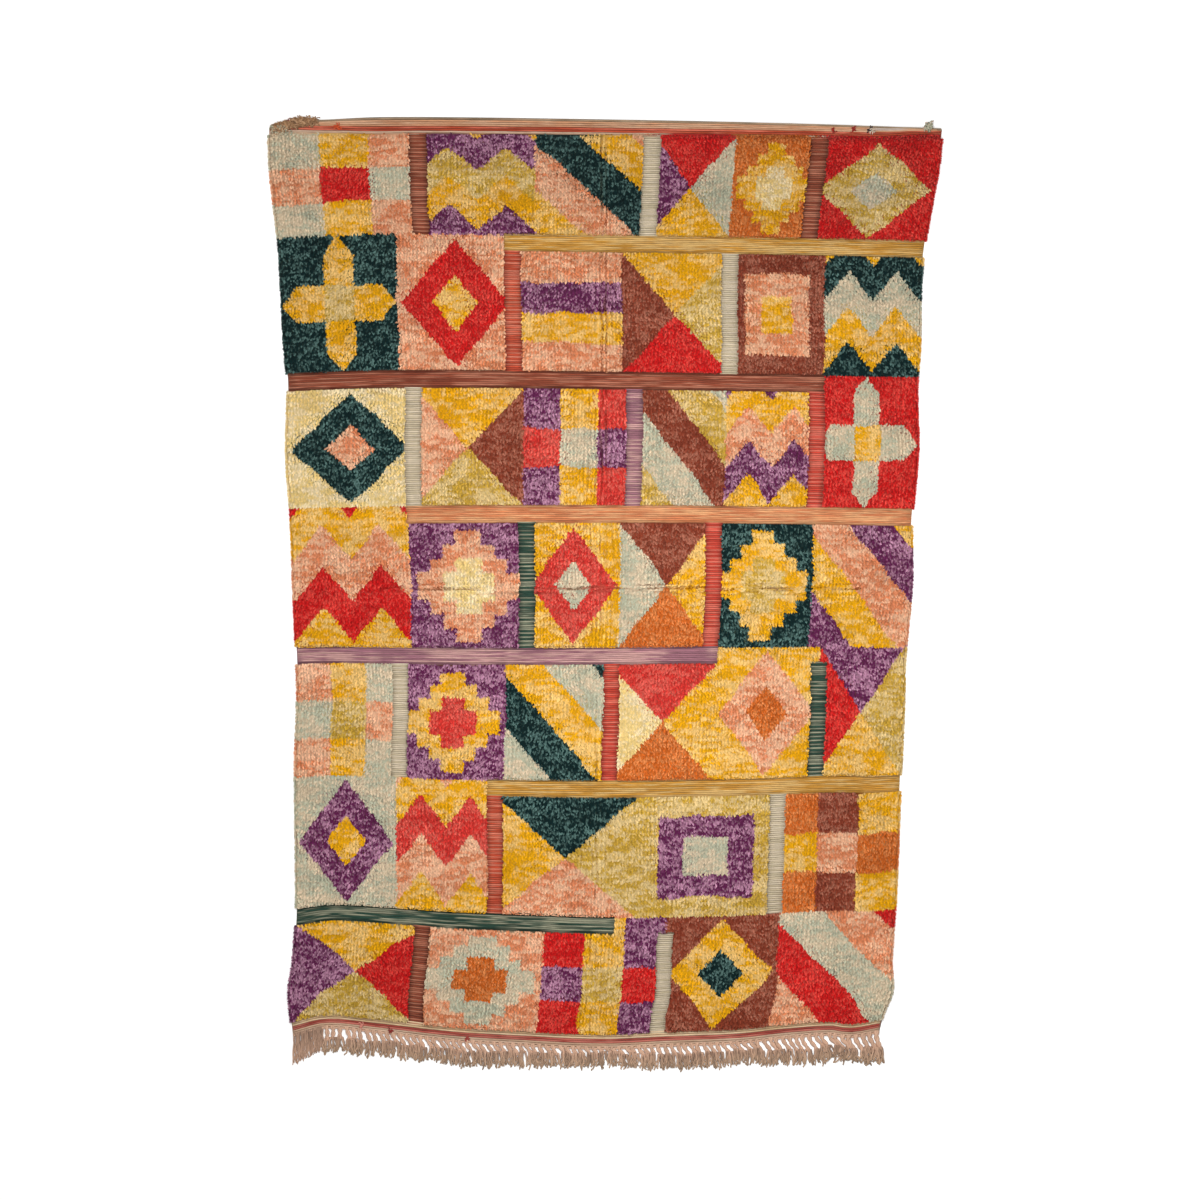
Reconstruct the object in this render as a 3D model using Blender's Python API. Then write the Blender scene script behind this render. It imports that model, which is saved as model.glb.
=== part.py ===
# A hand-knotted wool rug that lies flat: cut pile with flatwoven bars sunk between its
# compartments, a rolled hem at one end, a fringe of plied warp ends at the other, and the
# last warp ends knotted at the two hemmed corners. Metres, +Z up, with the hem towards +Y
# and the fringe towards -Y. The origin is on the floor, in the middle of the whole rug.

import math
import random
from collections import namedtuple

import bmesh
import bpy

# Colours of the yarns as seen from afar
OCHRE = (0.66, 0.40, 0.16, 1)
BEIGE = (0.56, 0.38, 0.25, 1)
GREY = (0.45, 0.42, 0.33, 1)

# Heights of the cloth above the floor
PILE_TOP = 0.0185
BAR_FLOOR = 0.0070
FLATWEAVE = 0.0060
HEM_TOP = 0.0100
RIM_TOP = 0.0100

# Lengths along the warp. d is the distance woven from the fringed end of the cloth.
FRINGED_END = -1.408
HEMMED_END = 1.495
WOVEN_LENGTH = HEMMED_END - FRINGED_END
FRINGED_BAND = 0.041
HEMMED_BAND = 0.046
HEM_ROLL = 0.012
TWINED_BAND = 0.018
BAR_WIDTH = 0.053
WALL = 0.004
NOMINAL_WIDTH = 2.0
BAR_SHARE = BAR_WIDTH / NOMINAL_WIDTH
WALL_SHARE = WALL / NOMINAL_WIDTH

# Unevenness of the pile
LINE_STEP = 0.034
COLUMNS = 16
RIM_SHARES = (0.003, 0.010)
LEAST_SHARE = 0.0012
LUMP = 0.0012
LOCK = 0.0035
DRIFT = 0.004
FOLD_SHARES = (0.478, 0.492, 0.508)
FOLD_DEPTH = 0.0035
CREASE_AT = 1.42
CREASE_HALF = 0.022
CREASE_DEPTH = 0.003
CREASE_FROM, CREASE_TO = 0.14, 0.92

# Side edges: y, left x, right x
SIDES = (
    (1.508, -1.066, 1.068),
    (1.356, -1.060, 1.053),
    (1.236, -1.048, 1.031),
    (1.094, -1.031, 1.007),
    (0.961, -1.023, 0.995),
    (0.787, -1.014, 0.992),
    (0.644, -1.003, 0.983),
    (0.454, -1.007, 0.986),
    (0.217, -0.992, 0.967),
    (0.027, -0.985, 0.966),
    (-0.226, -0.975, 0.943),
    (-0.328, -0.972, 0.942),
    (-0.543, -0.979, 0.933),
    (-0.970, -0.976, 0.915),
    (-1.160, -0.986, 0.902),
    (-1.255, -1.000, 0.905),
    (-1.344, -0.994, 0.872),
    (-1.401, -0.989, 0.866),
)

# How far each end lies from its mean line: share of the width from the left, y offset
HEMMED_WAVE = ((0.0, -0.012), (0.06, 0.000), (0.17, 0.012), (0.49, 0.005), (0.80, -0.009), (1.0, -0.026))
FRINGED_WAVE = (
    (0.000, 0.011),
    (0.057, 0.036),
    (0.144, 0.022),
    (0.262, -0.004),
    (0.378, -0.018),
    (0.524, -0.030),
    (0.642, -0.021),
    (0.760, -0.012),
    (0.839, 0.004),
    (0.918, 0.014),
    (0.949, 0.006),
    (1.000, 0.022),
)

# Rows of compartments from the fringed end: height, shares of the width at which upright
# bars stand in the row, and the stretch of the crosswise bar woven above it
ROWS = (
    (0.310, (0.21, 0.62), (0.00, 0.52)),
    (0.370, (0.33, 0.80), (0.33, 1.00)),
    (0.360, (0.17, 0.52, 0.86), (0.00, 0.68)),
    (0.390, (0.38, 0.68), (0.20, 1.00)),
    (0.370, (0.20, 0.55, 0.84), (0.00, 0.84)),
    (0.380, (0.36, 0.70), (0.36, 1.00)),
    (0.318, (0.22, 0.57, 0.82), None),
)

# Strands: the strip that carries a set of them is parted from the cloth by GAP
GAP = 0.0003
STRIP_DEPTH = 0.009
STRIP_HEIGHT = 0.0055
STRAND_RINGS = 4
TIP_THINNING = 0.45

# Strand shapes: share of the width, length, sweep of the tip to +X, bend half-way
TASSELS = (
    (0.00, 0.096, 0.002, 0.000),
    (0.05, 0.078, 0.006, 0.003),
    (0.18, 0.074, 0.016, -0.005),
    (0.30, 0.076, 0.020, -0.006),
    (0.42, 0.064, 0.014, -0.003),
    (0.53, 0.058, 0.017, -0.005),
    (0.65, 0.070, 0.012, -0.004),
    (0.76, 0.066, 0.018, -0.006),
    (0.86, 0.084, 0.020, -0.009),
    (0.94, 0.078, 0.016, -0.011),
    (1.00, 0.088, 0.010, -0.004),
)
LEFT_KNOTS = ((0.004, 0.002, 0.002, 0.0), (0.040, 0.009, 0.003, 0.0), (0.074, 0.003, 0.002, 0.0))
RIGHT_KNOTS = ((0.966, 0.008, -0.002, 0.0), (0.976, 0.019, -0.001, 0.0), (0.986, 0.012, 0.003, 0.0))

# The fringe of plied warp pairs, and the warp ends knotted short at the hemmed corners:
# d of the cloth's edge, the side they lie on, first and last share, strands, root and tip
# width, height, shape and colour
Strands = namedtuple("Strands", "name d outward first last count root tip height shape colour")
STRAND_SETS = (
    Strands("fringe", 0.0, -1, 0.0, 1.0, 88, 0.012, 0.014, 0.007, TASSELS, BEIGE),
    Strands("corner_tuft_left", WOVEN_LENGTH, 1, 0.004, 0.074, 9, 0.013, 0.011, 0.013, LEFT_KNOTS, BEIGE),
    Strands("corner_tuft_right", WOVEN_LENGTH, 1, 0.966, 0.986, 3, 0.010, 0.008, 0.011, RIGHT_KNOTS, GREY),
)


def clear_scene():
    for thing in list(bpy.data.objects):
        bpy.data.objects.remove(thing)


def smooth_at(rows, at, column):
    """Value of a column of a table at a station of its first column, on a smooth curve."""
    rows = sorted(rows)
    at = min(max(at, rows[0][0]), rows[-1][0])
    after = next(i for i in range(1, len(rows)) if at <= rows[i][0])
    low, high = rows[after - 1], rows[after]
    before, beyond = rows[max(after - 2, 0)], rows[min(after + 1, len(rows) - 1)]
    span = high[0] - low[0]
    slope_low = (high[column] - before[column]) / (high[0] - before[0]) * span
    slope_high = (beyond[column] - low[column]) / (beyond[0] - low[0]) * span
    t = (at - low[0]) / span
    return (
        low[column] * (1 + 2 * t) * (1 - t) ** 2
        + slope_low * t * (1 - t) ** 2
        + high[column] * t * t * (3 - 2 * t)
        - slope_high * t * t * (1 - t)
    )


def place(share, d):
    """Point of the lying cloth for a share of its width and a distance along its warp."""
    t = d / WOVEN_LENGTH
    y = FRINGED_END + d + smooth_at(FRINGED_WAVE, share, 1) * (1 - t) ** 4
    y += smooth_at(HEMMED_WAVE, share, 1) * t**3
    y += DRIFT * math.sin(5.1 * share + 9.0 * t) * math.sin(math.pi * t)
    left, right = smooth_at(SIDES, y, 1), smooth_at(SIDES, y, 2)
    lean = DRIFT * math.sin(7.3 * t + 4.0 * share) * math.sin(math.pi * share)
    return left + (right - left) * share + lean, y


def woven_bars():
    """Flatwoven bars as (first share, last share, first d, last d)."""
    bars = []
    d = FRINGED_BAND
    for height, uprights, crosswise in ROWS:
        for share in uprights:
            bars.append((share - BAR_SHARE / 2, share + BAR_SHARE / 2, d, d + height))
        d += height
        if crosswise:
            first = crosswise[0] - BAR_SHARE / 2 if crosswise[0] > 0 else -1
            last = crosswise[1] + BAR_SHARE / 2 if crosswise[1] < 1 else 2
            bars.append((first, last, d, d + BAR_WIDTH))
            d += BAR_WIDTH
    return bars


def in_bar(bars, share, d):
    return any(a < share < b and c < d < e for a, b, c, e in bars)


def dip(distance, half):
    """1 at the middle of a trough, falling softly to 0 at half its width."""
    return math.cos(0.5 * math.pi * distance / half) ** 2 if abs(distance) < half else 0.0


def top_height(bars, share, d):
    if d < FRINGED_BAND:
        return FLATWEAVE
    if d > WOVEN_LENGTH - HEM_ROLL:
        across = (WOVEN_LENGTH - d) / HEM_ROLL
        return FLATWEAVE + (HEM_TOP - FLATWEAVE) * math.sin(math.pi * min(max(across, 0.25), 1.0))
    if d > WOVEN_LENGTH - HEMMED_BAND:
        return FLATWEAVE
    if in_bar(bars, share, d):
        return BAR_FLOOR
    lumps = 0.6 * math.sin(61 * share + 9 * d) + 0.4 * math.sin(23 * share - 41 * d + 2)
    height = PILE_TOP + LUMP * lumps
    height -= FOLD_DEPTH * dip(share - FOLD_SHARES[1], FOLD_SHARES[2] - FOLD_SHARES[0])
    if CREASE_FROM < share < CREASE_TO:
        height -= CREASE_DEPTH * dip(d - CREASE_AT, 2 * CREASE_HALF)
    if share in (0.0, 1.0):
        height = RIM_TOP
    return height


def either_side(edges, gap):
    return [edge + sign * gap / 2 for edge in edges for sign in (-1, 1)]


def cloth_lines(bars):
    """Distances along the warp at which the cloth has a line of points."""
    fixed = [0.0, TWINED_BAND, WOVEN_LENGTH - HEM_ROLL, WOVEN_LENGTH - HEM_ROLL / 2, WOVEN_LENGTH]
    edges = {FRINGED_BAND, WOVEN_LENGTH - HEMMED_BAND}
    edges |= {edge for bar in bars for edge in bar[2:]}
    fixed += either_side(edges, WALL)
    fixed += [CREASE_AT - CREASE_HALF, CREASE_AT, CREASE_AT + CREASE_HALF]
    lines = sorted({round(d, 5) for d in fixed})
    filled = []
    for low, high in zip(lines, lines[1:]):
        pieces = max(1, round((high - low) / LINE_STEP))
        filled += [low + (high - low) * k / pieces for k in range(pieces)]
    return filled + [lines[-1]]


def line_shares(bars, d):
    """Shares of the width at which the line at d has points."""
    near = [bar for bar in bars if bar[2] - 2 * WALL < d < bar[3] + 2 * WALL]
    edges = either_side([edge for bar in near for edge in bar[:2]], WALL_SHARE)
    marks = [0.0, 1.0, *FOLD_SHARES, *RIM_SHARES, *(1 - share for share in RIM_SHARES)]
    marks += [edge for edge in edges if 0 < edge < 1]
    marks += [k / COLUMNS for k in range(1, COLUMNS)]
    return thinned(marks)


def thinned(marks):
    """The marks in order, without the ones that nearly coincide."""
    kept = []
    for mark in sorted(marks):
        if not kept or mark - kept[-1] > LEAST_SHARE:
            kept.append(mark)
    if kept[-1] < 1:
        kept[-1] = 1.0
    return kept


def zip_lines(mesh, lower, upper, facing_up):
    """Triangles between two lines of (share, vertex)."""
    i = j = 0
    while i < len(lower) - 1 or j < len(upper) - 1:
        step_lower = j == len(upper) - 1
        if not step_lower and i < len(lower) - 1:
            step_lower = lower[i + 1][0] <= upper[j + 1][0]
        if step_lower:
            corners = [lower[i][1], lower[i + 1][1], upper[j][1]]
            i += 1
        else:
            corners = [lower[i][1], upper[j + 1][1], upper[j][1]]
            j += 1
        mesh.faces.new(corners if facing_up else corners[::-1])


def make_cloth(fringe_shares, corner_shares):
    """The whole cloth: lines of points across it, its flat underside, its ends and sides."""
    bars = woven_bars()
    random.seed(4)
    mesh = bmesh.new()
    top, bottom = [], []
    lines = cloth_lines(bars)
    for number, d in enumerate(lines):
        at_end = number in (0, len(lines) - 1)
        shares = line_shares(bars, d)
        if number == 0:
            shares = thinned(fringe_shares + [0.0, 1.0])
        elif at_end:
            shares = thinned(shares + corner_shares)
        piled = FRINGED_BAND < d < WOVEN_LENGTH - HEMMED_BAND
        row = []
        for share in shares:
            x, y = place(share, d)
            if share in (0.0, 1.0) and piled:
                x += (share - 0.5) * 2 * LOCK * random.uniform(-0.8, 0.4)
            row.append((share, mesh.verts.new((x, y, top_height(bars, share, d)))))
        top.append(row)
        under = row if at_end else [row[0], row[-1]]
        bottom.append([(share, mesh.verts.new((vert.co.x, vert.co.y, 0))) for share, vert in under])
    for low, high in zip(top, top[1:]):
        zip_lines(mesh, low, high, True)
    for low, high in zip(bottom, bottom[1:]):
        zip_lines(mesh, low, high, False)
    for low, high, side in ((0, 0, -1), (-1, -1, 1)):
        for k in range(len(lines) - 1):
            wall = [bottom[k][low][1], bottom[k + 1][low][1], top[k + 1][high][1], top[k][high][1]]
            mesh.faces.new(wall if side > 0 else wall[::-1])
    for end, outward in ((0, -1), (-1, 1)):
        for k in range(len(top[end]) - 1):
            wall = [bottom[end][k][1], bottom[end][k + 1][1], top[end][k + 1][1], top[end][k][1]]
            mesh.faces.new(wall if outward < 0 else wall[::-1])
    return finished(mesh, "rug_cloth", "wool_pile", OCHRE)


def strand_roots(strands):
    """Shares of the cloth's edge at which each strand's root begins and ends."""
    edge_width = place(1, strands.d)[0] - place(0, strands.d)[0]
    root = strands.root / edge_width
    pitch = (strands.last - strands.first - root) / (strands.count - 1)
    starts = [strands.first + k * pitch for k in range(strands.count)]
    return [(start, start + root) for start in starts]


def root_shares(strands):
    return [share for root in strand_roots(strands) for share in root]


def make_strands(strands):
    """A strip along the cloth's edge with four-sided strands grown from its front."""
    random.seed(strands.count)
    mesh = bmesh.new()
    stations = []
    for share in root_shares(strands):
        x, edge_y = place(share, strands.d)
        back = edge_y + strands.outward * GAP
        front = back + strands.outward * STRIP_DEPTH
        corners = ((x, back, 0), (x, back, STRIP_HEIGHT), (x, front, STRIP_HEIGHT), (x, front, 0))
        stations.append([mesh.verts.new(corner) for corner in corners])
    for k, (low, high) in enumerate(zip(stations, stations[1:])):
        at_root = k % 2 == 0
        for a, b in ((0, 1), (1, 2), (3, 0)) if at_root else ((0, 1), (1, 2), (2, 3), (3, 0)):
            mesh.faces.new((low[a], low[b], high[b], high[a]))
    mesh.faces.new(stations[0])
    mesh.faces.new(stations[-1])
    for k, root in enumerate(strand_roots(strands)):
        grow_strand(mesh, stations[2 * k], stations[2 * k + 1], sum(root) / 2, strands)
    bmesh.ops.recalc_face_normals(mesh, faces=mesh.faces)
    return finished(mesh, strands.name, strands.name + "_cotton", strands.colour)


def grow_strand(mesh, low, high, share, strands):
    """Rings of four points from the open root between two stations of the strip."""
    length = smooth_at(strands.shape, share, 1) * random.uniform(0.93, 1.05)
    sweep = smooth_at(strands.shape, share, 2) + random.uniform(-0.0012, 0.0012)
    bend = smooth_at(strands.shape, share, 3)
    root_x, root_y = (low[2].co.x + high[2].co.x) / 2, (low[2].co.y + high[2].co.y) / 2
    root = high[2].co.x - low[2].co.x
    ring = [low[3], high[3], high[2], low[2]]
    for k in range(1, STRAND_RINGS + 1):
        t = k / STRAND_RINGS
        x = root_x + sweep * t**1.5 + bend * math.sin(math.pi * t)
        y = root_y + strands.outward * length * t
        half = (root + (strands.tip - root) * t) / 2
        top = strands.height * (1.0 - TIP_THINNING * t * t)
        corners = ((x - half, y, 0), (x + half, y, 0), (x + half, y, top), (x - half, y, top))
        new_ring = [mesh.verts.new(corner) for corner in corners]
        for a, b in ((0, 1), (1, 2), (2, 3), (3, 0)):
            mesh.faces.new((ring[a], ring[b], new_ring[b], new_ring[a]))
        ring = new_ring
    mesh.faces.new(ring)


def finished(mesh, name, material_name, colour):
    data = bpy.data.meshes.new(name)
    mesh.to_mesh(data)
    mesh.free()
    thing = bpy.data.objects.new(name, data)
    bpy.context.scene.collection.objects.link(thing)
    material = bpy.data.materials.get(material_name) or bpy.data.materials.new(material_name)
    material.use_nodes = True
    shader = material.node_tree.nodes["Principled BSDF"]
    shader.inputs["Base Color"].default_value = colour
    shader.inputs["Roughness"].default_value = 0.95
    shader.inputs["Metallic"].default_value = 0.0
    data.materials.append(material)
    return thing


clear_scene()
fringe, left_knots, right_knots = STRAND_SETS
make_cloth(root_shares(fringe), root_shares(left_knots) + root_shares(right_knots))
for strand_set in STRAND_SETS:
    make_strands(strand_set)
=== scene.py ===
import math

import bpy
import numpy as np
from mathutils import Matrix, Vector


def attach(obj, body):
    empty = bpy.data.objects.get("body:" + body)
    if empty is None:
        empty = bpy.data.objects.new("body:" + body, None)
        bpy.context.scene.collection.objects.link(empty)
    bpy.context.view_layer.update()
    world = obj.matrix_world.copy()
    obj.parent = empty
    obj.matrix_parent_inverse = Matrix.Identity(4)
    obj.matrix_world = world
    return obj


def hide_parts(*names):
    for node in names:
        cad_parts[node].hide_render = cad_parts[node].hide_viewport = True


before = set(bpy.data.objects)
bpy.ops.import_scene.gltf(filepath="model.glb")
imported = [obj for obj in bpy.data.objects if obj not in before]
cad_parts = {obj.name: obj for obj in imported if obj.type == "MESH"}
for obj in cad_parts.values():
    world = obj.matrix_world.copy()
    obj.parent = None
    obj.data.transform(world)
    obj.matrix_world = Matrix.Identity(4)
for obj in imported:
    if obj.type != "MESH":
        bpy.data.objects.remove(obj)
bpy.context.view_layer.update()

# The photograph: the rug lies on the floor and is seen from straight above, from so far
# that its sides show no perspective. The floor is a plain pale board, level with the
# underside of the rug, that glows a little, so that it stays white out to its edges.
PHOTO_WIDTH = 3.798
PHOTO_CENTRE = (-0.0174, -0.0206)
CAMERA_HEIGHT = 12.0
SENSOR = 36.0
FLOOR_SIDE = 30.0
FLOOR_GAP = 0.0004
FLOOR_COLOUR = (0.90, 0.90, 0.89, 1)
FLOOR_GLOW = 0.35

bpy.context.scene.view_settings.view_transform = "Standard"

bpy.ops.object.select_all(action="DESELECT")
bpy.ops.object.camera_add(location=(*PHOTO_CENTRE, CAMERA_HEIGHT))
camera = bpy.context.object
camera.data.sensor_width = SENSOR
camera.data.lens = SENSOR * CAMERA_HEIGHT / PHOTO_WIDTH
camera.data.clip_end = 60
bpy.context.scene.camera = camera

bpy.ops.mesh.primitive_plane_add(size=FLOOR_SIDE, location=(0, 0, -FLOOR_GAP))
floor = bpy.context.object
floor.name = "floor"
pale_floor = bpy.data.materials.new("pale_floor")
pale_floor.use_nodes = True
for socket_name, value in (
    ("Base Color", FLOOR_COLOUR), ("Roughness", 0.8), ("Emission Color", (1, 1, 1, 1)),
    ("Emission Strength", FLOOR_GLOW),
):
    pale_floor.node_tree.nodes["Principled BSDF"].inputs[socket_name].default_value = value
floor.data.materials.append(pale_floor)

# Soft studio light: a wide panel high behind the hemmed end, a weaker one at the other
# side to open the shadows, a soft box over the middle, whose light falls off towards the
# corners as it does in the photograph, and a pale room round them.
for panel_name, spot, side, power in (
    ("panel_above", (-1.8, 2.4, 6.2), 3.2, 210),
    ("panel_along", (3.0, -3.0, 6.0), 4.0, 42),
    ("soft_box", (0.25, 0.0, 2.4), 1.0, 41),
):
    bpy.ops.object.light_add(type="AREA", location=spot)
    panel = bpy.context.object
    panel.name = panel_name
    panel.data.size = side
    panel.data.energy = power
    panel.visible_camera = False
    aim = (spot[0], 0, 0) if panel_name == "soft_box" else (0, 0, 0)
    panel.rotation_euler = (Vector(spot) - Vector(aim)).to_track_quat("Z", "Y").to_euler()
room = bpy.data.worlds.new("pale_room")
room.use_nodes = True
room.node_tree.nodes["Background"].inputs["Color"].default_value = (1, 1, 1, 1)
room.node_tree.nodes["Background"].inputs["Strength"].default_value = 0.33
bpy.context.scene.world = room


# How the cloth lies: its outline and the gentle waves of its woven lines, as the solid has
# them, and how the lines crowd towards the hemmed edge. A place on the cloth is a share of
# its width, from the left, and d, the length woven from the fringed end.
FRINGED_END = -1.408
HEMMED_END = 1.495
WOVEN_LENGTH = HEMMED_END - FRINGED_END
NOMINAL_WIDTH = 2.0
DRIFT = 0.004
SIDES = (
    # y, left x, right x
    (1.508, -1.066, 1.068),
    (1.356, -1.060, 1.053),
    (1.236, -1.048, 1.031),
    (1.094, -1.031, 1.007),
    (0.961, -1.023, 0.995),
    (0.787, -1.014, 0.992),
    (0.644, -1.003, 0.983),
    (0.454, -1.007, 0.986),
    (0.217, -0.992, 0.967),
    (0.027, -0.985, 0.966),
    (-0.226, -0.975, 0.943),
    (-0.328, -0.972, 0.942),
    (-0.543, -0.979, 0.933),
    (-0.970, -0.976, 0.915),
    (-1.160, -0.986, 0.902),
    (-1.255, -1.000, 0.905),
    (-1.344, -0.994, 0.872),
    (-1.401, -0.989, 0.866),
)
# at shares of the width, the y offsets of both ends
HEMMED_WAVE = ((0.0, -0.012), (0.06, 0.000), (0.17, 0.012), (0.49, 0.005), (0.80, -0.009), (1.0, -0.026))
FRINGED_WAVE = (
    (0.0, 0.011), (0.057, 0.036), (0.144, 0.022), (0.262, -0.004), (0.378, -0.018), (0.524, -0.030),
    (0.642, -0.021), (0.760, -0.012), (0.839, 0.004), (0.918, 0.014), (0.949, 0.006), (1.0, 0.022),
)
# how much nearer to the hemmed edge the stripe runs
HEM_PINCH = (
    (0.0, 0.024), (0.03, 0.024), (0.06, 0.0145), (0.10, 0.005), (0.15, -0.006), (0.22, -0.005),
    (0.60, -0.001), (0.82, 0.004), (0.91, 0.010), (0.96, 0.023), (1.0, 0.027),
)
PINCHED_LENGTH = 0.25


def smooth_at(rows, at, column):
    """A column of a table read at stations of its first column, on a smooth curve."""
    table = np.array(sorted(rows), float)
    stations, values = table[:, 0], table[:, column]
    at = np.clip(at, stations[0], stations[-1])
    high = np.clip(np.searchsorted(stations, at), 1, len(table) - 1)
    low = high - 1
    before, beyond = np.maximum(low - 1, 0), np.minimum(high + 1, len(table) - 1)
    span = stations[high] - stations[low]
    slope_low = (values[high] - values[before]) / (stations[high] - stations[before]) * span
    slope_high = (values[beyond] - values[low]) / (stations[beyond] - stations[low]) * span
    t = (at - stations[low]) / span
    return (
        values[low] * (1 + 2 * t) * (1 - t) ** 2
        + slope_low * t * (1 - t) ** 2
        + values[high] * t * t * (3 - 2 * t)
        - slope_high * t * t * (1 - t)
    )


def place(share, d):
    """x and y of the lying cloth."""
    share, d = np.broadcast_arrays(np.asarray(share, float), np.asarray(d, float))
    t = d / WOVEN_LENGTH
    y = FRINGED_END + d + smooth_at(FRINGED_WAVE, share, 1) * (1 - t) ** 4
    y = y + smooth_at(HEMMED_WAVE, share, 1) * t**3
    y = y + DRIFT * np.sin(5.1 * share + 9.0 * t) * np.sin(math.pi * t)
    from_hem = np.clip((WOVEN_LENGTH - d) / PINCHED_LENGTH, 0, 1)
    y = y + smooth_at(HEM_PINCH, share, 1) * np.minimum(from_hem * 8, 1) * (1 - from_hem) ** 2
    left, right = smooth_at(SIDES, y, 1), smooth_at(SIDES, y, 2)
    lean = DRIFT * np.sin(7.3 * t + 4.0 * share) * np.sin(math.pi * share)
    return left + (right - left) * share + lean, y


def soft_noise(x, y, cell_x, cell_y, seed):
    """Smooth noise from 0 to 1 whose lumps are about cell_x by cell_y."""
    u, v = np.asarray(x) / cell_x + 50.37, np.asarray(y) / cell_y + 500.81
    column, row = np.floor(u).astype(int), np.floor(v).astype(int)
    s, t = u - column, v - row
    s, t = s * s * (3 - 2 * s), t * t * (3 - 2 * t)
    grid = np.random.default_rng(seed).random(65536)

    def corner(i, j):
        return grid[((column + i) * 7919 + (row + j) * 104729) % 65536]

    low = corner(0, 0) * (1 - s) + corner(1, 0) * s
    high = corner(0, 1) * (1 - s) + corner(1, 1) * s
    return low * (1 - t) + high * t


# The design, a plain compartment rug of common motifs in the yarns of the photograph. Each
# row of compartments is woven between flatwoven bars, upright and crosswise, where no pile
# is knotted. The bars lie as the solid has them.
FRINGED_BAND = 0.041
HEMMED_BAND = 0.046
HEM_START = WOVEN_LENGTH - HEMMED_BAND
BAR_WIDTH = 0.053
BAR_SHARE = BAR_WIDTH / NOMINAL_WIDTH
ROWS = (
    # height, (share, yarn) of the upright bars, (from, to, yarn) of the bar woven above
    (0.310, ((0.21, "b"), (0.62, "s")), (0.00, 0.52, "g")),
    (0.370, ((0.33, "c"), (0.80, "s")), (0.33, 1.00, "w")),
    (0.360, ((0.17, "s"), (0.52, "r"), (0.86, "g")), (0.00, 0.68, "m")),
    (0.390, ((0.38, "g"), (0.68, "r")), (0.20, 1.00, "o")),
    (0.370, ((0.20, "s"), (0.55, "m"), (0.84, "r")), (0.00, 0.84, "b")),
    (0.380, ((0.36, "c"), (0.70, "s")), (0.36, 1.00, "w")),
    (0.318, ((0.22, "b"), (0.57, "s"), (0.82, "b")), None),
)
COMPARTMENTS = (
    # for each row: (share of its right-hand edge, motif, pile yarns of the motif)
    ((0.21, "hourglass", "YRMP"), (0.415, "steps", "SCO"), (0.62, "checks", "RYPM"),
     (0.81, "lozenge", "YBT"), (1.0, "slants", "CRS")),
    ((0.165, "lozenge", "PSY"), (0.33, "zigzag", "YCV"), (0.565, "hourglass", "TMCY"),
     (0.80, "frames", "MPS"), (1.0, "checks", "OBYC")),
    ((0.17, "checks", "CYSM"), (0.345, "steps", "YPV"), (0.52, "slants", "STY"),
     (0.69, "hourglass", "VYOL"), (0.86, "lozenge", "CYO"), (1.0, "hourglass", "PMYR")),
    ((0.19, "zigzag", "YRC"), (0.38, "steps", "CPL"), (0.53, "lozenge", "VYS"),
     (0.68, "hourglass", "BYOS"), (0.84, "steps", "YTM"), (1.0, "slants", "PYC")),
    ((0.20, "lozenge", "TLC"), (0.375, "hourglass", "YBMC"), (0.55, "checks", "PYVS"),
     (0.695, "slants", "MSB"), (0.84, "zigzag", "YPC"), (1.0, "cross", "SRY")),
    ((0.18, "cross", "YTM"), (0.36, "lozenge", "RCY"), (0.53, "bands", "CYP"),
     (0.70, "hourglass", "YMRB"), (0.85, "frames", "BCY"), (1.0, "zigzag", "TYS")),
    ((0.22, "checks", "SYCR"), (0.395, "zigzag", "PYM"), (0.57, "slants", "YCT"),
     (0.695, "hourglass", "RSYP"), (0.82, "steps", "YOL"), (1.0, "lozenge", "MRS")),
)
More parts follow.
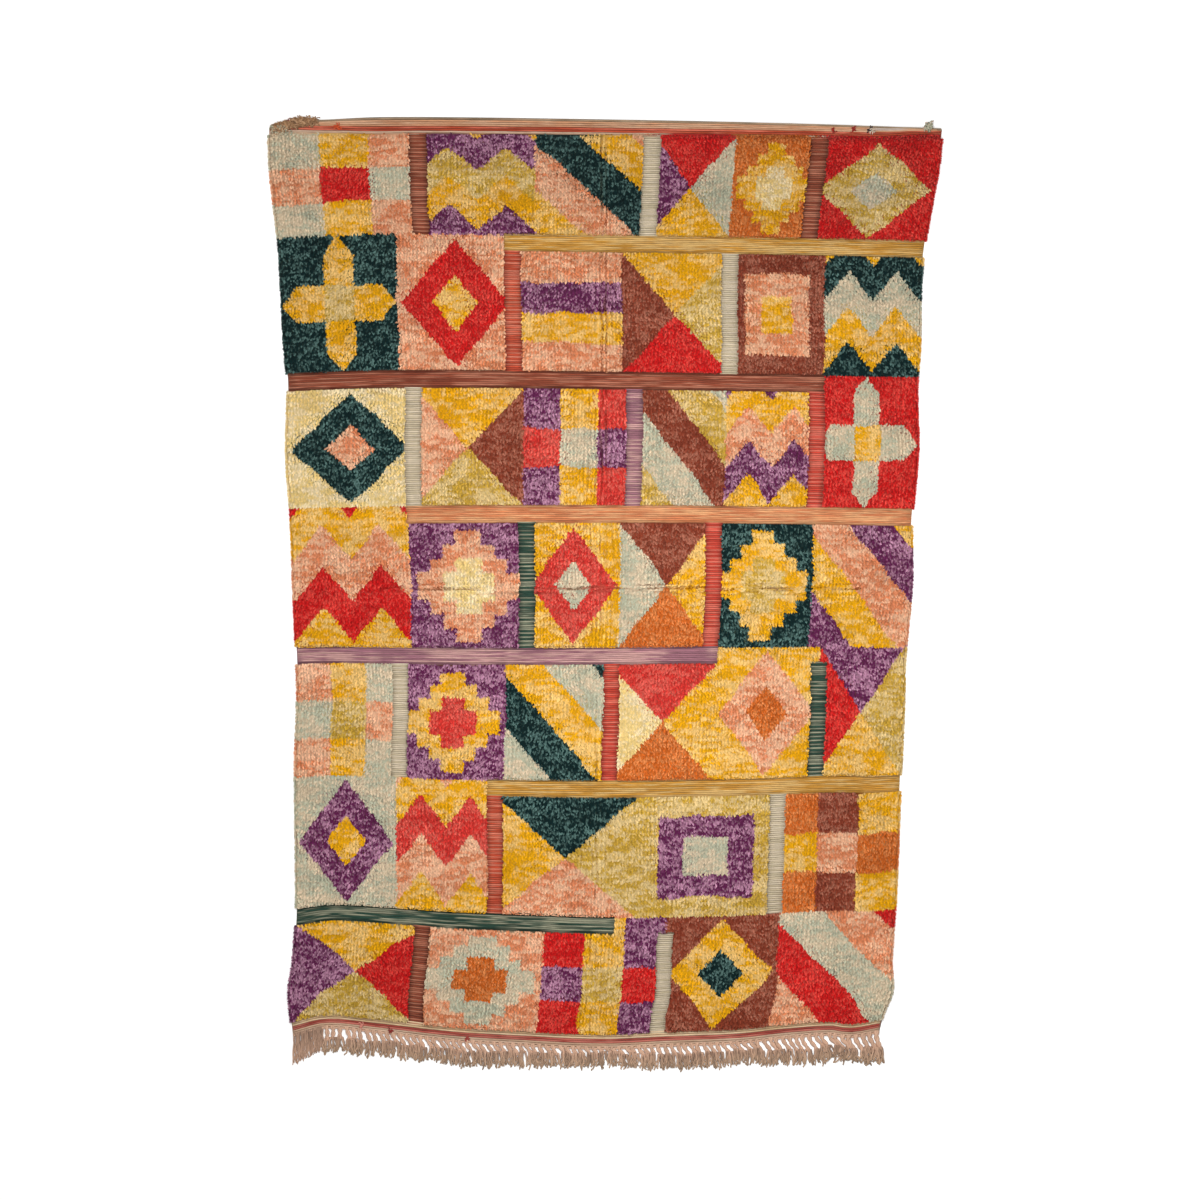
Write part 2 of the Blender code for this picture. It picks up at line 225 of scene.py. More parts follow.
YARNS = {
    # sRGB of the dyed wool and of its pale flecks, the share of flecks, and how much they
    # change from knot to knot rather than in patches. Pile yarns: saffron, mustard, straw,
    # red, vermilion, purple, coral, orange, sage, brown and teal
    "Y": ((238, 172, 8), (246, 202, 122), 0.36, 0.25),
    "M": ((210, 168, 60), (234, 204, 142), 0.45, 0.35),
    "L": ((240, 208, 132), (248, 226, 180), 0.45, 0.35),
    "R": ((222, 26, 26), (242, 74, 64), 0.35, 0.55),
    "V": ((228, 58, 50), (240, 102, 88), 0.35, 0.50),
    "P": ((108, 38, 84), (200, 144, 172), 0.36, 0.52),
    "C": ((232, 140, 94), (245, 192, 154), 0.58, 0.35),
    "O": ((218, 106, 36), (234, 142, 78), 0.35, 0.60),
    "S": ((192, 192, 166), (226, 204, 172), 0.50, 0.40),
    "B": ((148, 64, 42), (188, 114, 90), 0.30, 0.50),
    "T": ((4, 37, 38), (96, 130, 124), 0.12, 0.60),
    # weft yarns of the bars: sage, green, coral, red, brown, mauve, orange and straw
    "s": ((206, 190, 160), (222, 206, 180), 0.5, 0.0),
    "g": ((48, 76, 63), (154, 154, 130), 0.28, 0.0),
    "c": ((200, 82, 56), (220, 128, 102), 0.45, 0.0),
    "r": ((206, 72, 56), (226, 118, 98), 0.4, 0.0),
    "b": ((148, 74, 52), (186, 118, 92), 0.4, 0.0),
    "m": ((166, 114, 126), (210, 164, 158), 0.4, 0.0),
    "o": ((218, 136, 90), (234, 174, 124), 0.5, 0.0),
    "w": ((206, 150, 62), (224, 184, 116), 0.5, 0.0),
    # weft yarns of the two ends: undyed, grey-green and the coral stripe at the fringe, and
    # the hem's dark edge, its tan band, its deeper stripe and its worn patch
    "e": ((204, 168, 140), (216, 184, 158), 0.5, 0.0),
    "f": ((226, 192, 148), (236, 206, 168), 0.5, 0.0),
    "n": ((172, 78, 66), (204, 118, 102), 0.4, 0.0),
    "h": ((148, 126, 100), (178, 152, 124), 0.3, 0.0),
    "u": ((212, 156, 118), (224, 180, 146), 0.4, 0.0),
    "k": ((188, 80, 52), (220, 118, 92), 0.35, 0.0),
    "v": ((200, 182, 168), (218, 202, 190), 0.5, 0.0),
}
YARN_LETTERS = "".join(YARNS)


def linear(srgb):
    """Linear colour of sRGB bytes."""
    value = np.asarray(srgb, float) / 255
    return np.where(value <= 0.04045, value / 12.92, ((value + 0.055) / 1.055) ** 2.4)


def row_starts():
    """Woven lengths at which the rows of compartments start, and the last one's end."""
    starts = [FRINGED_BAND]
    for height, _, crosswise in ROWS:
        starts.append(starts[-1] + height + (BAR_WIDTH if crosswise else 0))
    return starts


def bar_map(share, d, spare=0.0):
    """Index of the bar's yarn at each place, or -1 where pile is knotted."""
    found = np.full(share.shape, -1)
    half = BAR_SHARE / 2 + spare / NOMINAL_WIDTH
    for start, (height, uprights, crosswise) in zip(row_starts(), ROWS):
        for at, yarn in uprights:
            inside = (abs(share - at) < half) & (d >= start - spare) & (d < start + height + spare)
            found[inside] = YARN_LETTERS.index(yarn)
        if crosswise:
            first, last, yarn = crosswise
            low = first - half if first > 0 else -1
            high = last + half if last < 1 else 2
            above = d - start - height
            inside = (share > low) & (share < high) & (above >= -spare) & (above < BAR_WIDTH + spare)
            found[inside] = YARN_LETTERS.index(yarn)
    return found


def motif(kind, p, q):
    """Which of its yarns a common motif has at p across and q along its compartment."""
    across, along = abs(p - 0.5), abs(q - 0.5)
    if kind == "hourglass":
        return np.where(across > along, np.where(p < 0.5, 3, 1), np.where(q < 0.5, 2, 0))
    if kind == "lozenge":
        ring = across + along
        return np.where(ring < 0.2, 2, np.where(ring < 0.47, 0, 1))
    if kind == "steps":
        ring = (np.floor(across * 9) + np.floor(along * 9)) / 9
        return np.where(ring < 0.18, 2, np.where(ring < 0.42, 0, 1))
    if kind == "checks":
        return (np.floor(p * 3) + 2 * np.floor(q * 3)).astype(int) % 4
    if kind == "zigzag":
        return np.floor((q + abs((p * 2) % 1 - 0.5) * 0.5) * 3.4).astype(int) % 3
    if kind == "cross":
        arms = (np.minimum(across, along) < 0.13) & (across + along < 0.5)
        return np.where(np.maximum(across, along) < 0.13, 2, np.where(arms, 0, 1))
    if kind == "slants":
        return np.floor((p + q) * 2.2).astype(int) % 3
    if kind == "frames":
        ring = np.maximum(across, along)
        return np.where(ring < 0.16, 2, np.where(ring < 0.34, 1, 0))
    return np.floor(q * 4).astype(int) % 3


def pile_map(share, d):
    """Index of the pile yarn at each place."""
    found = np.zeros(share.shape, int)
    starts = row_starts()
    for number, ((height, _, crosswise), compartments) in enumerate(zip(ROWS, COMPARTMENTS)):
        start, end = starts[number], starts[number + 1]
        in_row = (d >= start if number else d > -1) & (d < end if crosswise else d < 9)
        first = 0.0
        for last, kind, yarns in compartments:
            middle = (first + last) / 2
            covered = crosswise and crosswise[0] < middle < crosswise[1]
            span = height if covered or not crosswise else height + BAR_WIDTH
            inside = in_row & (share >= (first or -1)) & (share < (last if last < 1 else 2))
            p = np.clip((share[inside] - first) / (last - first), 0, 0.999)
            q = np.clip((d[inside] - start) / span, 0, 0.999)
            letters = np.array([YARN_LETTERS.index(letter) for letter in yarns])
            found[inside] = letters[motif(kind, p, q)]
            first = last
    return found


def yarn_column(number):
    return np.array([yarn[number] for yarn in YARNS.values()])


def two_toned(yarn, flecks):
    """Linear colours of yarn indexes with as much of the pale dye as the flecks, from 0 to
    1, let show."""
    deep, pale = linear(yarn_column(0))[yarn], linear(yarn_column(1))[yarn]
    amount = np.clip((flecks - 0.5) / 0.22 + yarn_column(2)[yarn], 0, 1)[..., None]
    return deep * (1 - amount) + pale * amount


def dyed(yarn, x, y, seed, patch_x, patch_y):
    """Linear colours of yarn indexes, with the pale flecks and the uneven dye of each."""
    grain = yarn_column(3)[yarn]
    rng = np.random.default_rng(seed)
    patches = 0.62 * soft_noise(x, y, patch_x, patch_y, seed + 1)
    patches = patches + 0.38 * soft_noise(x, y, patch_x * 3, patch_y * 5, seed + 2)
    flecks = (1 - grain) * patches + grain * (0.5 + 0.7 * (rng.random(len(yarn)) - 0.5))
    dye = 0.90 + 0.12 * soft_noise(x, y, 0.16, 0.03, seed + 3) + 0.12 * soft_noise(x, y, 0.5, 0.3, seed + 4)
    dye = dye * (0.88 + 0.24 * rng.random(len(yarn)))
    return two_toned(yarn, flecks) * dye[:, None]


# The ground weave: one closed cloth that carries all the pile, and shows between the wefts
# of the bars and of the two flatwoven ends with their coral stripe. At the hemmed end it
# rises into the roll of the hem.
WEAVE_TOP = 0.0040
WEAVE_UNDER = 0.0002
LINE_PITCH = 0.0121
UNDER_EVERY = 6
WEFT_PITCH = 0.0062
WEFT_RADIUS = 0.0032
WEFT_Z = 0.0047
WEFT_SIDES = 5
SHORT_STATIONS = 4
LONG_STATIONS = 64
HEM_ROLL = 0.012
HEM_RISE = 0.0040
FRINGED_STRIPE = 0.0125
HEMMED_STRIPE = 0.0150
STRIPE_FROM_FRINGE = 0.0205
STRIPE_FROM_HEM = 0.0320
WORN_AT, WORN_HALF, WORN_DEEP = 0.92, 0.026, 0.020
CORNER_ROUND = 0.010
PILE_BODY = 0.0125
PILE_SHADE = (0.46, 0.42, 0.38)
WEFT_TONE = 0.84
GAP_SHADE = 0.45
BAR_LIP = 0.003
BAR_SPARE = 0.002
BAND_SPARE = 0.001
DARK_GROUND = 0.004
SIDE_DROP = 0.0012
EVEN_COLUMNS = 71
# where the sides of the cloth lie on its map
MAP_SIDE = 3.05
MAP_LEFT, MAP_FRONT = -1.08, -1.445
MAP_WIDTH = 2.16
UNDER_LEFT, UNDER_WIDTH = 0.727, 0.268
END_BANDS = (0.972, 0.984)
SIDE_BANDS = (0.706, 0.716)
EDGE_SCALE = 0.8


class Socket:
    """A node's output, which reads in arithmetic and adds the Math nodes that it needs."""

    def __init__(self, tree, link):
        self.tree, self.link = tree, link

    def node(self, kind, output=0, settings=None, **values):
        """An output of another node of this tree, from its settings and what its sockets take."""
        made = self.tree.nodes.new("ShaderNode" + kind)
        for key, value in (settings or {}).items():
            setattr(made, key, value)
        for name, value in values.items():
            socket = made.inputs[int(name[1:]) if name[1:].isdigit() else name]
            if isinstance(value, Socket):
                self.tree.links.new(value.link, socket)
            else:
                socket.default_value = value
        return Socket(self.tree, made.outputs[output])

    def __add__(self, other):
        return self.node("Math", 0, {"operation": "ADD"}, i0=self, i1=other)

    def __mul__(self, other):
        return self.node("Math", 0, {"operation": "MULTIPLY"}, i0=self, i1=other)

    __radd__ = __add__
    __rmul__ = __mul__


def yarn_material(name, grain, drawn_out, contrast, bump, sheen, roughness):
    """Yarn of the colours in a piece's own "yarn" attribute, with fibres at grain per metre
    that are drawn out along X, and as fuzzy as its sheen and bump."""
    material = bpy.data.materials.new(name)
    material.use_nodes = True
    tree = material.node_tree
    shader = tree.nodes["Principled BSDF"]
    start = Socket(tree, None)
    where = start.node("TexCoord", "Object")
    drawn = start.node("Mapping", Vector=where, Scale=(drawn_out, 1, 1))
    fibre = start.node("TexNoise", Vector=drawn, Scale=grain, Detail=3.0)
    clump = start.node("TexNoise", Vector=where, Scale=grain / 9, Detail=2.0)
    dye = start.node("Attribute", "Color", {"attribute_name": "yarn"})
    shade = (0.87 - 0.5 * contrast) + fibre * contrast + clump * 0.26
    tone = start.node("CombineColor", Red=shade, Green=shade, Blue=shade)
    mixed = start.node("Mix", 2, {"data_type": "RGBA", "blend_type": "MULTIPLY"}, i0=1.0, i6=dye, i7=tone)
    raised = start.node("Bump", Strength=bump, Distance=0.001, Height=fibre + clump * 0.5)
    rough = roughness + fibre * 0.12
    for socket_name, value in (("Base Color", mixed), ("Normal", raised), ("Roughness", rough)):
        tree.links.new(value.link, shader.inputs[socket_name])
    shader.inputs["Sheen Weight"].default_value = sheen
    shader.inputs["Sheen Roughness"].default_value = 0.6
    shader.inputs["Specular IOR Level"].default_value = 0.1
    return material


def array_piece(name, points, faces, uvs, colours, material, yarn_slot, smooth=True):
    """A finished piece from arrays of points, of triangles, of a map place for each of
    their corners, and of a colour for each point."""
    mesh = bpy.data.meshes.new(name)
    mesh.vertices.add(len(points))
    mesh.vertices.foreach_set("co", np.ascontiguousarray(points, np.float32).ravel())
    mesh.loops.add(faces.size)
    mesh.loops.foreach_set("vertex_index", np.ascontiguousarray(faces, np.int32).ravel())
    mesh.polygons.add(len(faces))
    mesh.polygons.foreach_set("loop_start", np.arange(0, faces.size, 3, dtype=np.int32))
    mesh.update(calc_edges=True)
    mesh.polygons.foreach_set("use_smooth", np.full(len(faces), smooth))
    rgba = np.ones((len(points), 4), np.float32)
    rgba[:, :3] = colours
    mesh.color_attributes.new("yarn", "FLOAT_COLOR", "POINT").data.foreach_set("color", rgba.ravel())
    mesh.uv_layers.new(name="OFBake").data.foreach_set("uv", np.ascontiguousarray(uvs, np.float32).ravel())
    mesh.materials.append(material)
    piece = bpy.data.objects.new(name, mesh)
    bpy.context.scene.collection.objects.link(piece)
    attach(piece, "root")
    return piece


def stacked(*columns):
    """Arrays or numbers stacked along a new last axis."""
    return np.stack(np.broadcast_arrays(*columns), -1)


def triples(*corners):
    """Triangles from the index grids of each corner in turn."""
    return stacked(*corners).reshape(-1, 3)


def map_triples(*corners):
    """Map places of triangles from the u and v of each corner in turn."""
    return np.stack([stacked(*corner) for corner in corners], -2).reshape(-1, 3, 2)


def spun(paths, radii, sides, cells, colours, band=(0, 1)):
    """Points, triangles, map places and colours of closed round yarns along paths, with a
    radius and a colour at each station, with the first cell and the numbers of cells across
    and up the map, and with the start and the height of the band of the map they fill."""
    count, stations, _ = paths.shape
    radii = np.broadcast_to(radii, (count, stations))
    colours = np.broadcast_to(colours, paths.shape)
    tangent = np.gradient(paths, axis=1)
    tangent /= np.linalg.norm(tangent, axis=2, keepdims=True)
    aside = np.cross(tangent, (0, 0, 1))
    aside /= np.maximum(np.linalg.norm(aside, axis=2, keepdims=True), 1e-6)
    upward = np.cross(aside, tangent)
    turn = np.arange(sides) * 2 * math.pi / sides
    around = aside[:, :, None] * np.cos(turn)[:, None] + upward[:, :, None] * np.sin(turn)[:, None]
    rings = paths[:, :, None] + around * radii[:, :, None, None]
    caps = paths[:, [0, -1]] + tangent[:, [0, -1]] * radii[:, [0, -1], None] * np.array([-0.5, 0.5])[:, None]
    points = np.concatenate([rings.reshape(count, -1, 3), caps], 1)
    grid = np.arange(stations * sides).reshape(stations, sides)
    beside = np.roll(grid, -1, axis=1)
    a, b, c, d = grid[:-1], beside[:-1], beside[1:], grid[1:]
    first, last = stations * sides, stations * sides + 1
    pattern = np.concatenate([
        triples(a, c, b), triples(a, d, c),
        triples(first, grid[0], beside[0]), triples(last, beside[-1], grid[-1]),
    ])
    triangles = (np.arange(count)[:, None, None] * points.shape[1] + pattern).reshape(-1, 3)
    s, t = np.meshgrid(np.arange(sides), np.arange(stations - 1))
    low, high, near, far = s / sides, (s + 1) / sides, (t + 1) / (stations + 1), (t + 2) / (stations + 1)
    edge = np.arange(sides) / sides
    next_edge, half_way = edge + 1 / sides, edge + 0.5 / sides
    foot, head = 1 / (stations + 1), stations / (stations + 1)
    corner_uvs = np.concatenate([
        map_triples((low, near), (high, far), (high, near)),
        map_triples((low, near), (low, far), (high, far)),
        map_triples((half_way, 0), (edge, foot), (next_edge, foot)),
        map_triples((half_way, 1), (next_edge, head), (edge, head)),
    ]) * 0.9 + 0.05
    first_cell, across, up = cells
    number = first_cell + np.arange(count)
    origin = stacked(number % across, number // across)
    uvs = (origin[:, None, None] + corner_uvs) / (across, up) * (1, band[1]) + (0, band[0])
    # painted light and shade: each yarn is painted lighter on its upper side than on its under side, and its
    # end caps darker
    lit = 0.80 + 0.20 * np.sin(turn)
    tints = (colours[:, :, None] * lit[:, None]).reshape(count, -1, 3)
    tints = np.concatenate([tints, 0.8 * colours[:, [0, -1]]], 1)
    return points.reshape(-1, 3), triangles, uvs.reshape(-1, 2), tints.reshape(-1, 3)


def joined(parts):
    """One set of points, triangles, map places and colours from several."""
    points, triangles, uvs, colours = zip(*parts)
    shift = np.cumsum([0] + [len(some) for some in points[:-1]])
    triangles = [some + offset for some, offset in zip(triangles, shift)]
    return [np.concatenate(column) for column in (points, triangles, uvs, colours)]


def shading(colours):
    """How much knots of these colours shade each other. Pale wool passes more light on."""
    return np.clip(1.5 - 1.8 * colours @ (0.2126, 0.7152, 0.0722), 0.5, 1.2)[..., None]


def drawn_in(share, from_hem):
    """How far the cloth is drawn in at the left corner of the hemmed end."""
    return CORNER_ROUND * np.exp(-share / 0.01 - from_hem / 0.012)


def hem_rise(from_hem):
    """How much the roll of the hem lifts the cloth."""
    return HEM_RISE * np.sin(math.pi * np.clip(from_hem / HEM_ROLL, 0.12, 1.0))


def worn_patch(share, from_hem):
    """Which places lie in the worn patch of the hemmed band."""
    return (from_hem < WORN_DEEP) & (abs(share - WORN_AT) < WORN_HALF)


def closed_sheet(top, under):
    """Triangles of a cloth with index grids of its upper and its coarser under points, one
    group for each of: top, under, fringed end, hemmed end, left side, right side."""
    def halves(a, b, c, d):
        return np.concatenate([triples(a, b, c), triples(a, c, d)])

    upper = halves(top[:-1, :-1], top[:-1, 1:], top[1:, 1:], top[1:, :-1])
    lower = halves(under[:-1, :-1], under[1:, :-1], under[1:, 1:], under[:-1, 1:])
    fringed = halves(under[0, :-1], under[0, 1:], top[0, 1:], top[0, :-1])
    hemmed = halves(under[-1, 1:], under[-1, :-1], top[-1, :-1], top[-1, 1:])
    sides = []
    for column, order in ((0, (0, 1, 2)), (-1, (0, 2, 1))):
        lines = np.arange(len(top) - 1)
        band = np.minimum(lines // UNDER_EVERY, len(under) - 2)
        fans = triples(under[band, column], top[lines, column], top[lines + 1, column])
        ends = np.minimum((np.arange(len(under) - 1) + 1) * UNDER_EVERY, len(top) - 1)
        feet = triples(under[1:, column], under[:-1, column], top[ends, column])
        sides.append(np.concatenate([fans, feet])[:, order])
    return [upper, lower, fringed, hemmed, *sides]


half_bar, lip = BAR_SHARE / 2, BAR_LIP / NOMINAL_WIDTH
beside_bar = (-half_bar - lip, -half_bar, half_bar, half_bar + lip)
edge_shares = [0.0, lip, 0.03, 0.06, WORN_AT - WORN_HALF, WORN_AT, WORN_AT + WORN_HALF, 0.97, 1.0 - lip, 1.0]
for _, uprights, crosswise in ROWS:
    middles = [at for at, _ in uprights] + [end for end in (crosswise or ())[:2] if 0 < end < 1]
    edge_shares += [at + side for at in middles for side in beside_bar]
columns = np.unique(np.round(edge_shares + list(np.linspace(0, 1, EVEN_COLUMNS)), 4))
line_count = int(WOVEN_LENGTH / LINE_PITCH / UNDER_EVERY) * UNDER_EVERY + 1
lines = np.linspace(0, WOVEN_LENGTH, line_count)
edges = [(FRINGED_BAND, 1), (HEM_START, -1)]
for start, (height, _, crosswise) in zip(row_starts(), ROWS):
    if crosswise:
        edges += [(start + height, -1), (start + height + BAR_WIDTH, 1)]
for edge, to_pile in edges:
    nearest = np.argmin(abs(lines - edge))
    lines[[nearest, nearest + to_pile]] = edge, edge + to_pile * BAR_LIP
share_grid, d_grid = np.meshgrid(columns, lines)
x_grid, y_grid = place(share_grid, d_grid)
from_hem = WOVEN_LENGTH - d_grid
x_grid += drawn_in(share_grid, from_hem)
weave_yarn = bar_map(share_grid, d_grid, BAR_SPARE)
under_pile = weave_yarn < 0
weave_yarn[under_pile] = pile_map(share_grid, d_grid)[under_pile]
for in_band, letter in (
    (d_grid < FRINGED_BAND + BAND_SPARE, "f"),
    (d_grid < STRIPE_FROM_FRINGE, "e"),
    (abs(d_grid - STRIPE_FROM_FRINGE) < FRINGED_STRIPE / 2, "n"),
    (from_hem < HEMMED_BAND + BAND_SPARE, "u"),
    (abs(from_hem - STRIPE_FROM_HEM) < HEMMED_STRIPE / 2, "k"),
    (worn_patch(share_grid, from_hem), "v"),
    (from_hem < DARK_GROUND, "h"),
):
    weave_yarn[in_band] = YARN_LETTERS.index(letter)
    under_pile &= ~in_band
top_z = np.where(under_pile, PILE_BODY, WEAVE_TOP + hem_rise(from_hem))
top_z[:, [0, -1]] = WEAVE_TOP - SIDE_DROP
kept = np.arange(0, line_count, UNDER_EVERY)
upper_points = stacked(x_grid, y_grid, top_z)
under_points = stacked(x_grid, y_grid, WEAVE_UNDER)[kept]
weave_points = np.concatenate([upper_points.reshape(-1, 3), under_points.reshape(-1, 3)])
top_index = np.arange(x_grid.size).reshape(x_grid.shape)
under_index = x_grid.size + np.arange(len(kept) * len(columns)).reshape(len(kept), -1)
groups = closed_sheet(top_index, under_index)
weave_uvs = []
for number, group in enumerate(groups):
    x, y, z = np.moveaxis(weave_points[group.ravel()], -1, 0)
    u, v = (x - MAP_LEFT) / MAP_SIDE, (y - MAP_FRONT) / MAP_SIDE
    if number == 1:
        u = UNDER_LEFT + (x - MAP_LEFT) / MAP_WIDTH * UNDER_WIDTH
    elif number in (2, 3):
        v = END_BANDS[number - 2] + EDGE_SCALE * z
    elif number in (4, 5):
        u = SIDE_BANDS[number - 4] + EDGE_SCALE * z
    weave_uvs.append(stacked(u, v))
weave_colours = two_toned(weave_yarn, 0.4 + 0.3 * soft_noise(x_grid, y_grid, 0.06, 0.02, 12))
# painted shade: under the pile the ground is mixed with its darkest neighbour's colour and darkened by
# PILE_SHADE, and between the wefts by GAP_SHADE; pale yarns take less of it
darkest = weave_colours
for axis in (0, 1):
    darkest = np.min([np.roll(darkest, step, axis) for step in (-1, 0, 1)], 0)
weave_colours = np.where(under_pile[:, :, None], np.sqrt(darkest * weave_colours), weave_colours)
shade = np.where(under_pile[:, :, None], PILE_SHADE, GAP_SHADE)
weave_colours = weave_colours * (1 - shading(weave_colours) * (1 - shade))
weave_colours = np.concatenate([weave_colours.reshape(-1, 3), weave_colours[kept].reshape(-1, 3)])
weft_wool = yarn_material("weft_wool", 600, 0.07, 0.80, 0.5, 0.05, 0.8)
ground_weave = array_piece(
    "ground_weave", weave_points, np.concatenate(groups), np.concatenate(weave_uvs), weave_colours, weft_wool,
    "wool_pile",
)
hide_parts("rug_cloth")


# The woven bars: wool wefts beaten down over the warp, which show in the bars and in the
# two flatwoven ends. Each is a yarn of its own, no two are quite of one dye, and the pile
# beside a bar shades its edges.
EDGE_SHADE = 0.62
FIRST_WEFT = 0.002
LAST_WEFT = 0.001
FRINGED_LAP = 0.006
HEMMED_LAP = 0.004
DARK_WEFTS = 0.007
CREPT_FROM = 0.02


def weft_rows(low, high, first, last, letter, edge=1.0):
    """One row of numbers for each weft woven between two lengths, with the shade of the
    outer two."""
    count = round((high - low) / WEFT_PITCH)
    return [
        (low + (row + 0.5) * (high - low) / count, first, last, YARN_LETTERS.index(letter),
         edge if row in (0, count - 1) else 1.0)
        for row in range(count)
    ]


stripe_low, stripe_high = (STRIPE_FROM_FRINGE + side * FRINGED_STRIPE / 2 for side in (-1, 1))
hem_low, hem_high = (WOVEN_LENGTH - STRIPE_FROM_HEM + side * HEMMED_STRIPE / 2 for side in (-1, 1))
long_rows = []
for low, high, letter in (
    (FIRST_WEFT, stripe_low, "e"),
    (stripe_low, stripe_high, "n"),
    (stripe_high, FRINGED_BAND + FRINGED_LAP, "f"),
    (HEM_START - HEMMED_LAP, hem_low, "e"),
    (hem_low, hem_high, "k"),
    (hem_high, WOVEN_LENGTH - DARK_WEFTS, "u"),
    (WOVEN_LENGTH - DARK_WEFTS, WOVEN_LENGTH - LAST_WEFT, "h"),
):
    long_rows += weft_rows(low, high, 0, 1, letter)
short_rows = []
for start, (height, uprights, crosswise) in zip(row_starts(), ROWS):
    low, high = start - BAR_SPARE, start + height + BAR_SPARE
    for at, letter in uprights:
        short_rows += weft_rows(low, high, at - half_bar - lip, at + half_bar + lip, letter)
    if crosswise:
        first, last = (end + side * half_bar if 0 < end < 1 else end for end, side in zip(crosswise, (-1, 1)))
        low = start + height
        long_rows += weft_rows(low, low + BAR_WIDTH, first, last, crosswise[2], EDGE_SHADE)
weft_parts = []
for rows, stations, first_v in ((short_rows, SHORT_STATIONS, 0), (long_rows, LONG_STATIONS, 0.5)):
    d, first, last, letter, shade = (np.array(column)[:, None] for column in zip(*rows))
    share = np.clip(first + (last - first) * np.linspace(0, 1, stations), 0.0015, 0.9985)
    from_hem = WOVEN_LENGTH - d
    x, y = place(share, d)
    number = np.arange(len(rows))[:, None] * np.ones_like(x)
    in_field = (d > FRINGED_BAND) & (from_hem > HEMMED_BAND)
    y = y + 0.0022 * (soft_noise(x, d, 0.06, 0.03, 13) - 0.5) * in_field
    y = y + 0.0010 * (soft_noise(x, number, 0.04, 0.5, 14) - 0.5)
    x = x + drawn_in(share, from_hem)
    z = WEFT_Z + hem_rise(from_hem)
    radii = WEFT_RADIUS * (0.85 + 0.3 * soft_noise(x, number, 0.05, 0.5, 15))
    alternate = 0.5 + 0.5 * (-1.0) ** number
    alike = 0.26 if rows is short_rows else 0.14
    amount = alike * alternate + (0.60 - alike) * soft_noise(x, number, 0.04, 0.5, 16)
    amount = amount + 0.40 * soft_noise(x, number, 0.15, 2.6, 17)
    worn = (letter == YARN_LETTERS.index("u")) & worn_patch(share, from_hem)
    letter = np.where(worn, YARN_LETTERS.index("v"), letter)
    shade = shade * (0.80 + 0.36 * soft_noise(x, number, 0.09, 0.5, 18))
    # painted shade: wefts under the pile that creeps over the hemmed band take the pile's colour and are
    # painted darker towards the right
    below = d * np.ones_like(share) - CREPT_FROM
    crept_over = (d > HEM_START - HEMMED_LAP) & (d < hem_low) & (bar_map(share, below) < 0)
    letter = np.where(crept_over & (share > 0.6), pile_map(share, below), letter)
    shade = shade * np.where(crept_over, np.interp(share, (0.45, 0.70), (1, 0.45)), 1)
    if rows is short_rows:
        shade[:, [0, -1]] *= EDGE_SHADE
    tints = two_toned(letter, amount)
    tints = tints * WEFT_TONE * (1 - shading(tints) * (1 - shade[:, :, None]))
    across = math.ceil(math.sqrt(len(rows))) if rows is short_rows else len(rows)
    cells = (0, across, math.ceil(len(rows) / across))
    weft_parts.append(spun(stacked(x, y, z), radii, WEFT_SIDES, cells, tints, (first_v, 0.5)))
woven_bars = array_piece("woven_bars", *joined(weft_parts), weft_wool, "wool_pile")
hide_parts("rug_cloth")


# The pile: wool knots in rows across the rug, whose tips stand 16 to 21 mm up and lower in
# the folds. They lean towards the fringed end and shade each other. Their colours carry
# painted shade, darker towards each lock's foot and in the troughs of the folds, and painted
# light and shade in ribs along the pile. Each knot is one closed lock, and five pieces that
# run the rug's whole length share out its width.
PILE_TOP = 0.0185
KNOT_ACROSS = 0.0054
KNOT_ALONG = 0.0055
LEAN = 0.0088
LOCK_HALF = 0.0036
LOCK_FOOT = 0.0135
PILE_SETBACK = 0.004
CORNER_PILE, CORNER_PILE_END = 0.034, 0.010
PILE_CREEP = 0.008
LUMP = 0.0012
FOLD_AT = 0.500
FOLD_HALF = 0.034
FOLD_DEPTH = 0.0035
FOLD_STRENGTH = ((0.0, 0.45), (0.5, 0.60), (0.9, 0.40), (1.4, 0.45), (1.8, 0.85), (2.2, 1.0), (2.9, 1.0))
RIDGE = 0.0165
# how much painted shade darkens the knots in the troughs, in red, green and blue
TROUGH_SHADE = (0.50, 0.62, 0.68)
# painted light and shade of ribs along the pile
RIB_LIGHT_AND_SHADE = 0.26
CREASE_AT = 1.425
CREASE_HALF = 0.034
CREASE_DEPTH = 0.003
CREASE_FROM, CREASE_TO = 0.14, 0.92
STRIPS = 5
# painted shade: a lock's foot and sides are painted darker than its tip, pale wool less so
FOOT_SHADE, SIDE_SHADE, TIP_TONE = 0.46, 0.635, 0.85
DYE_PATCH = (0.023, 0.0085)
TROUGH_DEPTH = 0.0026
RIDGE_PULL = 0.0022
RIM_STEP = 0.0040
RIM_SETBACK = 0.003
RIM_LAYERS = (
    # height of the middle and of the tip, and how far the tip stands out
    (0.0105, 0.0085, 0.0070),
    (0.0070, 0.0030, 0.0085),
)


def dip(distance, half):
    """1 at the middle of a trough, falling softly to 0 at half its width."""
    return np.where(abs(distance) < half, np.cos(0.5 * math.pi * distance / half) ** 2, 0.0)


def pile_height(share, d):
    """Height of the pile's tips: low lumps, a furrow along the middle where the rug was
    folded, and a crease across it."""
    height = PILE_TOP + LUMP * (0.6 * np.sin(61 * share + 9 * d) + 0.4 * np.sin(23 * share - 41 * d + 2))
    height = height - FOLD_DEPTH * dip(share - FOLD_AT, FOLD_HALF / NOMINAL_WIDTH)
    crossed = (share > CREASE_FROM) & (share < CREASE_TO)
    return height - CREASE_DEPTH * dip(d - CREASE_AT, CREASE_HALF) * crossed


